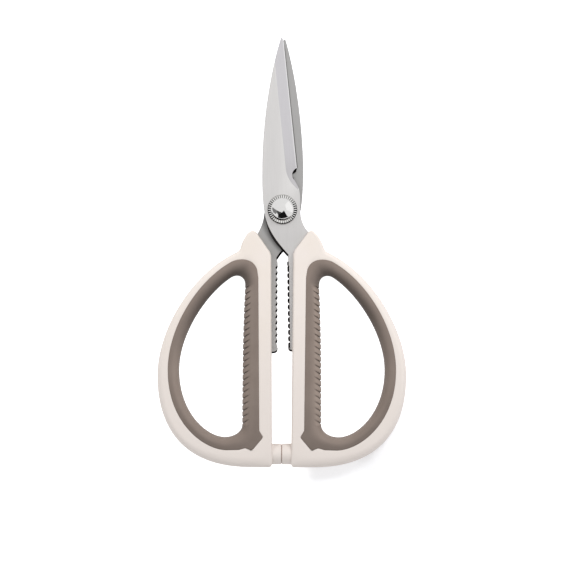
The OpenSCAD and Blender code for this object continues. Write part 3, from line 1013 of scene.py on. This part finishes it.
def handle_plastic():
    """Cream moulded plastic: faint clouds of colour, a fine texture from the mould and its parting
    line, painted shade towards the bottom, and brown painted shade where the two stop pegs meet."""
    p = Paint("cream_plastic")
    x, y, z = p.parts()
    cloud = p.noise(0.05, 2.0)
    top = p.mix(cloud.ramp(-0.25, 0.25), linear(235, 225, 216), linear(237, 228, 222))
    # Painted shade: darker towards the bottom, where less light falls
    colour = p.mix((0 - y).ramp(0.0, 90.0), top, linear(227, 218, 212))
    # Painted shade, brown, in the stepped groove round the face of each stop peg where they meet
    peg_y, rim = PIVOT_Y + RIM_BOTTOM + STOP_UP, STOP_D / 2 - 0.5
    from_axis = ((y - peg_y) ** 2.0 + (z - MID_Z) ** 2.0) ** 0.5
    joint_shade = x.absolute().ramp(0.26, 0.2) * from_axis.ramp(rim - 0.1, rim)
    colour = p.mix(joint_shade, colour, linear(168, 138, 122))
    grain = p.noise(5.0, 2.0)
    parting = 1 - (z - MID_Z).absolute().ramp(0.03, 0.12)
    return p.finish(
        p.shade(colour, 1 + grain * 0.015),
        0.46 + cloud * 0.08 + grain * 0.05,
        p.bump(grain * 0.03 + parting * 0.06, 0.6),
    )


def soft_grip():
    """Taupe rubber: matt, with a fine grain and a faint mottle. The grip's painted shade darkens
    it, and more painted shade darkens it towards its foot.
    """
    p = Paint("taupe_rubber")
    _, y, _ = p.parts()
    cloud, grain = p.noise(0.08), p.noise(4.0, 3.0, 0.6)
    colour = p.mix(cloud.ramp(-0.25, 0.25), linear(132, 118, 109), linear(139, 125, 116))
    shade = p.node("ShaderNodeAttribute", {"attribute_name": "shade"}, {}, "Fac")
    # Painted shade towards the foot, where less light falls
    foot = (0 - y).ramp(60.0, 85.0) * 0.1
    return p.finish(
        p.shade(colour, (1 + grain * 0.06) * (1 - shade) * (1 - foot)),
        0.6 + grain * 0.12 + cloud * 0.06,
        p.bump(grain * 0.05, 0.7),
    )


STEEL_METAL = 0.65


def blade_steel(name, front):
    """Brushed steel, brushed along the blade on the flat and across it on the ground bevel. The
    sides of the fork, the tang and the notch keep a dark scale from the press, darkened further by
    painted shade, near black along the fork. The honed edge has a painted highlight and the facet
    beyond it painted shade. The back blade's tone is darker, partly as painted shade, and it has a
    painted shadow where the front blade's fork lies on it."""
    p = Paint(name)
    x, y, z = p.parts()
    if not front:
        x, z = 0 - x, THICK - z
    y = y - PIVOT_Y
    down = 0 - y

    # Where the skin and its painted shade are: on the slope between the faces, and in the front
    # notch
    if front:
        below, above = FACE_Z - z, z - FRONT_Z
    else:
        below, above = z - FRONT_Z, FACE_Z - z
    sides = below.ramp(0.1, 0.14) * above.ramp(0.0, 0.05)
    skin_and_shade = down.ramp(-3.0, 2.0)
    if front:
        across, along = x - float(NOTCH[0]), y - float(NOTCH[1])
        from_notch = (across**2.0 + along**2.0) ** 0.5
        skin_and_shade = skin_and_shade.larger(from_notch.ramp(NOTCH_R + 0.03, NOTCH_R - 0.05))
    skin_and_shade = sides * skin_and_shade

    # The ground bevel, its honed edge with a painted highlight, and the facet beyond it with
    # painted shade
    way = [float(part) for part in EDGE_WAY]
    off_edge = (y - float(HEEL[1])) * way[0] - (x - float(HEEL[0])) * way[1]
    ground = off_edge.ramp(BEVEL_W + 0.5, BEVEL_W - 0.3) * y.ramp(4.0, 6.0)
    ground = ground * (FACE_Z - z).ramp(0.01, 0.05) * (z - FRONT_Z).ramp(0.02, 0.06)
    honed = ground * off_edge.ramp(0.5, 0.25)
    facet = off_edge.ramp(0.0, -0.06) * y.ramp(14.0, 18.0)

    # Scratches along the blade, across the bevel, and broad streaks and clouds
    lengthways = p.noise(12.0, 4.0, 0.6, (1, 0.02, 1))
    crossways = p.noise(9.0, 4.0, 0.6, (0.04, 1, 0.3))
    brushed = lengthways * (1 - ground) + crossways * ground
    streak = p.noise(1.6, 3.0, 0.5, (1, 0.03, 1))
    cloud = p.noise(0.06, 2.0)

    # The back blade's darker tone is partly its inner face's grind and partly painted shade, as it
    # lies under the front blade
    tone = linear(216, 214, 213) if front else linear(175, 174, 173)
    bevel = p.mix(y.ramp(30.0, 12.0), linear(196, 194, 197), linear(187, 185, 187))
    colour = p.mix(ground, tone, bevel)
    # A painted highlight on the honed edge, and painted shade on the facet beyond it
    colour = p.mix(honed, colour, linear(222, 221, 221))
    colour = p.mix(facet, colour, linear(92, 90, 90))
    if front:
        # Darker downwards, over the fork and the bar
        darkening = down.ramp(0.0, 16.0) * 0.08 + down.ramp(20.0, 50.0) * 0.1
    else:
        # Painted shadow where the edge of the front blade's fork, a parabola, lies over it when
        # closed, and painted light along the bar against the frames' shade
        beside = (0 - x) - (down * down * 0.0262 - down * 0.027 - 7.8)
        strip = beside.ramp(-4.2, 0.0) * beside.ramp(3.0, 0.8)
        painted_shadow = strip * down.ramp(-3.0, 3.0) * (z - FRONT_Z).ramp(1.2, 0.6)
        darkening = painted_shadow * (0.53 + down.ramp(8.0, 15.0) * 0.22) - down.ramp(20.0, 30.0) * 0.12
    colour = p.shade(colour, 1 + brushed * 0.12 + streak * 0.07 + cloud * 0.04 - darkening)
    # The skin's colour: dark grey, and near black along the fork as painted shade
    fork = down.ramp(20.0, 15.0) * down.ramp(-3.0, 2.0)
    dark = p.mix(fork, linear(12, 11, 11), linear(52, 50, 50))
    return p.finish(
        p.mix(skin_and_shade, colour, dark),
        0.42 + brushed * 0.16 + skin_and_shade * 0.2,
        p.bump(brushed * 0.012, 0.5),
        STEEL_METAL * (1 - skin_and_shade),
        0.0,
    )


def polished_steel():
    """Bright polished steel with faint smears."""
    p = Paint("polished_steel")
    smear = p.noise(0.5)
    colour = p.shade(linear(222, 221, 220), 1 + smear * 0.05)
    return p.finish(colour, 0.09 + smear * 0.06, metallic=1.0)


def washer_steel():
    """Bright steel with painted shade, near black, in the roots of the serrations. The painted
    shade is lighter on the side of the tip, and beside the nut on the side of the handles."""
    p = Paint("washer_steel")
    x, y, z = p.parts()
    down = PIVOT_Y - y
    radius = (x**2.0 + (y - PIVOT_Y) ** 2.0) ** 0.5
    grain = p.noise(3.0)
    # Painted shade in the roots, weaker towards the tip and beside the nut towards the handles
    root_shade = (z + grain * 0.03).ramp(9.93, 9.8) * radius.ramp(6.95, 6.75)
    root_shade = root_shade * (0.5 + down.ramp(-5.5, -1.0) * 0.5)
    root_shade = root_shade * (1 - radius.ramp(6.4, 6.1) * down.ramp(3.2, 5.2) * 0.75)
    colour = p.mix(root_shade, linear(244, 243, 241), linear(8, 8, 8))
    colour = p.shade(colour, 1 + grain * 0.08)
    return p.finish(colour, 0.2 + grain * 0.1 + root_shade * 0.15, metallic=1.0)


def shim_steel():
    """Plain bright steel with a faint grain."""
    p = Paint("shim_steel")
    grain = p.noise(2.0)
    colour = p.shade(linear(176, 174, 172), 1 + grain * 0.1)
    return p.finish(colour, 0.35 + grain * 0.1, metallic=1.0)


# ---- Pieces ----

cream, taupe = handle_plastic(), soft_grip()
bright, shim = polished_steel(), shim_steel()

for half in ("front", "back"):
    name, front = f"{half}_blade_steel", half == "front"
    steel = blade_steel(f"{half}_steel", front)
    piece(name, blade_mesh(name, front), steel, f"{half}_half", f"{half}_blade")

for side, body in (("right", "front_half"), ("left", "back_half")):
    front = side == "right"
    name = f"{side}_frame_shell"
    piece(name, frame_mesh(name, front), cream, body, f"{side}_handle_frame")
    name = f"{side}_grip_sleeve"
    piece(name, grip_mesh(name, front), taupe, body, f"{side}_grip", 50)

name = "dome_nut"
piece(name, nut_mesh(name), bright, "back_half", "cap_nut", 40)

name = "serrated_ring"
ring = lathe(name, WASHER_PROFILE, SERRATIONS * 14, washer_wave)
piece(name, ring, washer_steel(), "back_half", "serrated_washer", 60)

name = "slotted_screw"
piece(name, screw_mesh(name), bright, "back_half", "pivot_screw", 40)

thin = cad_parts["thin_washer"]
thin.data.materials.clear()
thin.data.materials.append(shim)

# ---- Stage: floor, light and camera ----

# The table's own light, in what it adds to other surfaces and as it shows in mirrors
BOUNCE_LEVEL = 0.3
MIRRORED_LEVEL = 0.75

def light_floor():
    """A table lit from below, white wherever the camera looks at it. On the side away from the key
    light less of its light comes from below, so the soft shadow there shows. It is clear from
    underneath."""
    p = Paint("white_table")
    x, y, _ = p.parts()
    y = y - PIVOT_Y
    seen, glossy, through, diffuse = (
        p.node("ShaderNodeLightPath", out=f"Is {kind} Ray")
        for kind in ("Camera", "Glossy", "Transmission", "Diffuse")
    )
    oval_x, oval_y, oval_w, oval_h = 18.0, -70.0, 36.0, 43.0
    from_oval = ((x - oval_x) / oval_w) ** 2.0 + ((y - oval_y) / oval_h) ** 2.0
    corner = from_oval.ramp(0.9, 1.1) * x.ramp(2.0, 16.0) * (0 - y).ramp(78.0, 98.0)
    shaded = corner * (0.68 + x.ramp(33.0, 42.0) * 0.1)
    lit = p.node("ShaderNodeBsdfDiffuse", {}, {0: (*linear(240, 241, 244), 1.0)})
    glow = p.glow(seen * (1 - shaded) + diffuse * BOUNCE_LEVEL)
    table = p.node("ShaderNodeAddShader", {}, {0: lit, 1: glow})
    mirrored = {0: glossy.larger(through), 1: table, 2: p.glow(MIRRORED_LEVEL)}
    table = p.node("ShaderNodeMixShader", {}, mirrored)
    under = p.node("ShaderNodeNewGeometry", out="Backfacing")
    clear = p.node("ShaderNodeBsdfTransparent")
    return p.show(p.node("ShaderNodeMixShader", {}, {0: under * seen, 1: table, 2: clear}))


def glow_card(name, level):
    """A card that shines evenly. White is 1."""
    p = Paint(name)
    return p.show(p.glow(level))


def staged(name, corners, material, hidden=False):
    """A flat card. A hidden one only shows in reflections."""
    mesh = bpy.data.meshes.new(name)
    mesh.from_pydata(corners, [], [list(range(len(corners)))])
    mesh.materials.append(material)
    o = bpy.data.objects.new(name, mesh)
    bpy.context.scene.collection.objects.link(o)
    if hidden:
        o.visible_camera = o.visible_diffuse = o.visible_shadow = o.visible_transmission = False


def card(name, azimuths, elevations, radius, level):
    """A card on a sphere round the pivot: its corners are given by azimuth and elevation, in
    degrees, and its radius in metres."""
    a, e = np.radians(azimuths), np.radians(elevations)
    x, y, z = radius * np.cos(a) * np.cos(e), radius * np.sin(a) * np.cos(e), radius * np.sin(e)
    corners = np.column_stack([x, PIVOT_Y * MM + y, z]).tolist()
    staged(name, corners, glow_card(name, level), True)


TABLE_HALF = 6.0
TABLE_Z = -2e-4
TABLE_TURNS = ((-1, -1), (1, -1), (1, 1), (-1, 1))
table_corners = [(i * TABLE_HALF, j * TABLE_HALF, TABLE_Z) for i, j in TABLE_TURNS]
staged("table", table_corners, light_floor())

CARDS = [
    ("black_flag", (-38, -54, -49, -90, -118, -128, -97), (76, 29, 20, 21, 19, 40, 67), 0.9, 0.01),
    ("dark_flag", (-97, -128, -150, -168), (67, 40, 44, 51), 0.95, 0.07),
    ("grey_flag", (-168, -150, -145, -160, 172, 168), (51, 44, 30, 18, 10, 15), 0.95, 0.25),
    (
        "low_flag",
        (-38, -60, -90, -120, -150, -168, -168, -150, -120, -90, -60, -38),
        (4, -1, -1, -1, -1, 0, 5, 12, 16, 16, 15, 8),
        0.93,
        0.01,
    ),
    ("bright_card", (-18, 55, 60, -10), (8, 12, 55, 60), 0.9, 1.2),
]
for settings in CARDS:
    card(*settings)

WORLD_LEVEL = 0.66


def studio_world():
    """White to the camera, in mirrors and through glass. Its light on the object is lower."""
    world = bpy.data.worlds.new("studio")
    world.use_nodes = True
    tree = world.node_tree
    tree.nodes.clear()
    path = tree.nodes.new("ShaderNodeLightPath")
    direct = path.outputs["Is Camera Ray"]
    for other in ("Is Glossy Ray", "Is Transmission Ray"):
        larger = tree.nodes.new("ShaderNodeMath")
        larger.operation = "MAXIMUM"
        tree.links.new(direct, larger.inputs[0])
        tree.links.new(path.outputs[other], larger.inputs[1])
        direct = larger.outputs[0]
    level = tree.nodes.new("ShaderNodeMapRange")
    tree.links.new(direct, level.inputs[0])
    level.inputs[3].default_value = WORLD_LEVEL
    level.inputs[4].default_value = 1.0
    background = tree.nodes.new("ShaderNodeBackground")
    background.inputs[0].default_value = (1, 1, 1, 1)
    tree.links.new(level.outputs[0], background.inputs[1])
    tree.links.new(background.outputs[0], tree.nodes.new("ShaderNodeOutputWorld").inputs[0])
    return world


def lamp(name, place, size, watts):
    """A round lamp that shines at the origin and doesn't show in reflections."""
    data = bpy.data.lights.new(name, "AREA")
    data.shape, data.size, data.energy = "DISK", size, watts
    o = bpy.data.objects.new(name, data)
    o.location = place
    o.rotation_euler = (-Vector(place)).to_track_quat("-Z", "Y").to_euler()
    o.visible_glossy = False
    bpy.context.scene.collection.objects.link(o)


scene = bpy.context.scene
scene.world = studio_world()
scene.view_settings.view_transform = "Standard"

lamp("key", (0.45, 0.5, 0.7), 0.35, 3.6)
lamp("fill", (-0.6, 0.4, 0.6), 0.4, 1.8)

# The picture is square and VIEW_W millimetres wide at the middle of the handles' height
VIEW_W = 270.2
VIEW_CENTRE = (3.54, -17.5)
DISTANCE = 2000.0
ROLL = 0.18
SENSOR_W = 36.0
camera = bpy.data.objects.new("camera", bpy.data.cameras.new("camera"))
camera.data.sensor_width = SENSOR_W
camera.data.lens = SENSOR_W * DISTANCE / VIEW_W
camera.data.clip_start, camera.data.clip_end = 0.1, 20.0
turn = math.radians(ROLL)
off_x, off_y = VIEW_CENTRE[0], VIEW_CENTRE[1] - PIVOT_Y
centre_x = off_x * math.cos(turn) - off_y * math.sin(turn)
centre_y = PIVOT_Y + off_x * math.sin(turn) + off_y * math.cos(turn)
camera.location = (centre_x * MM, centre_y * MM, (DISTANCE + MID_Z) * MM)
camera.rotation_euler[2] = turn
scene.collection.objects.link(camera)
scene.camera = camera
